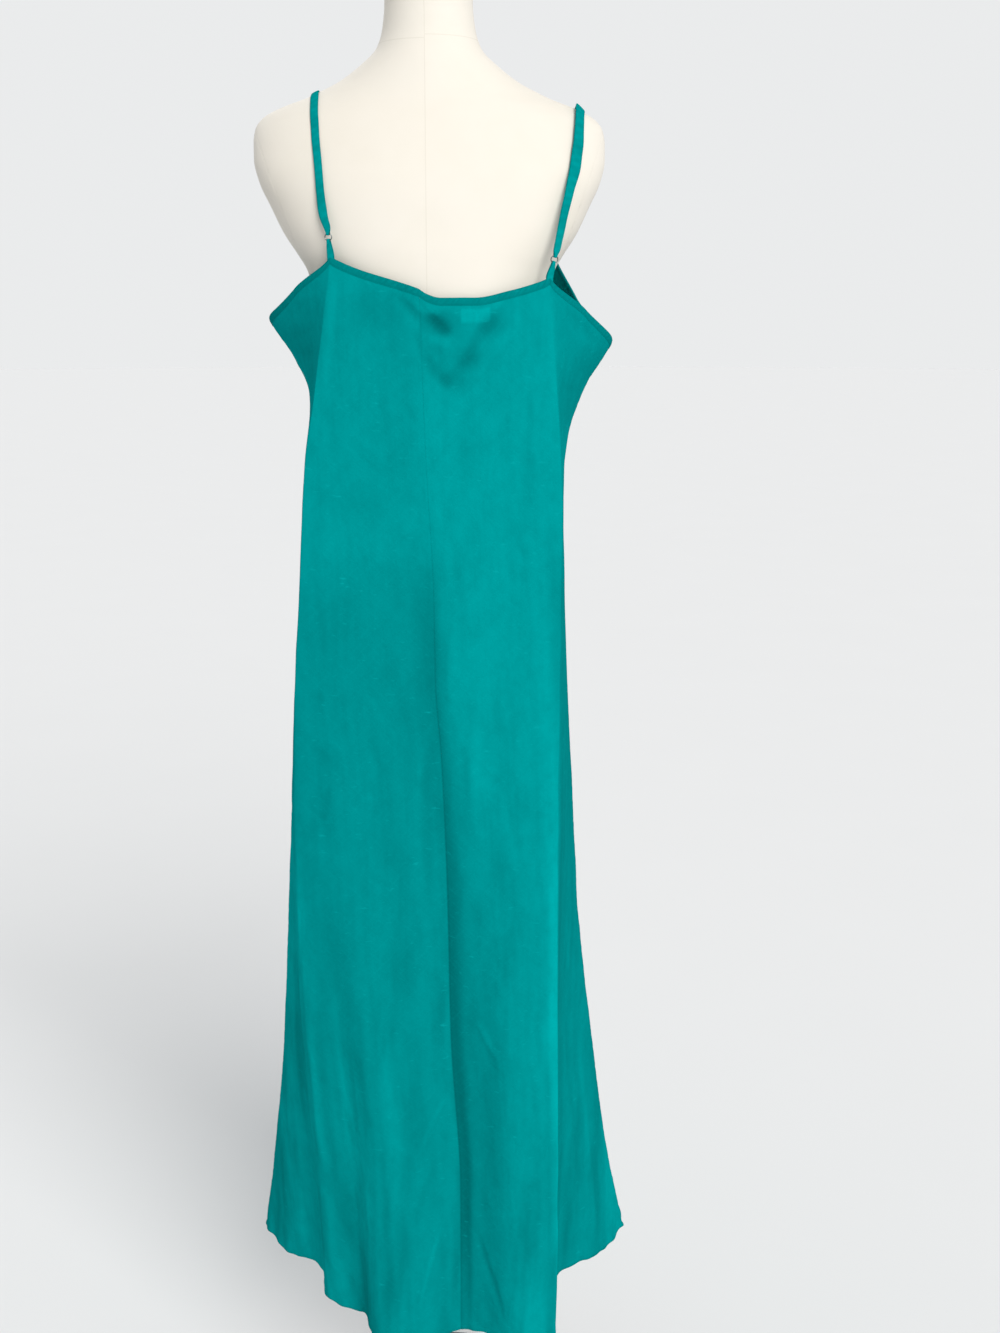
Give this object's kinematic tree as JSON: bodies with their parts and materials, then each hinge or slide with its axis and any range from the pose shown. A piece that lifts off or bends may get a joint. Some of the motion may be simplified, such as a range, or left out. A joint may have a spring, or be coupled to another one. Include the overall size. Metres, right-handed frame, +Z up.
{
  "type": "slip dress on a dress form",
  "caption": "Long bias-cut slip dress with ringed shoulder straps, hanging from the shoulders of a limbless dress form on a round base.",
  "frame": {"origin": "on the floor, under the middle of the base", "axes": "+Z up along the pole, -Y to the wearer's front, +X to the wearer's left; the open back neckline faces +Y"},
  "size_m": [0.463, 0.3791, 1.74],
  "materials": {
    "teal_cloth": "plain bias-cut crepe with a soft sheen",
    "teal_binding": "self-fabric binding, topstitched",
    "teal_strap": "turned rouleau of the same cloth",
    "label_tape": "blank woven tape",
    "ring_metal": "dark polished wire",
    "form_cloth": "cream cover stretched over a hard shell",
    "stand_metal": "black satin"
  },
  "bodies": {
    "root": {"back_left": "teal_cloth", "back_right": "teal_cloth", "front": "teal_cloth", "neck_band_back": "teal_binding", "neck_band_front": "teal_binding", "armhole_band_left": "teal_binding", "armhole_band_right": "teal_binding", "strap_left": "teal_strap", "strap_right": "teal_strap", "tab_left": "teal_strap", "tab_right": "teal_strap", "ring_left": "ring_metal", "ring_right": "ring_metal", "neck_label": "label_tape", "form_torso": "form_cloth", "arm_plate_left": "form_cloth", "arm_plate_right": "form_cloth", "stand_pole": "stand_metal", "stand_base": "stand_metal"}
  },
  "joints": []
}
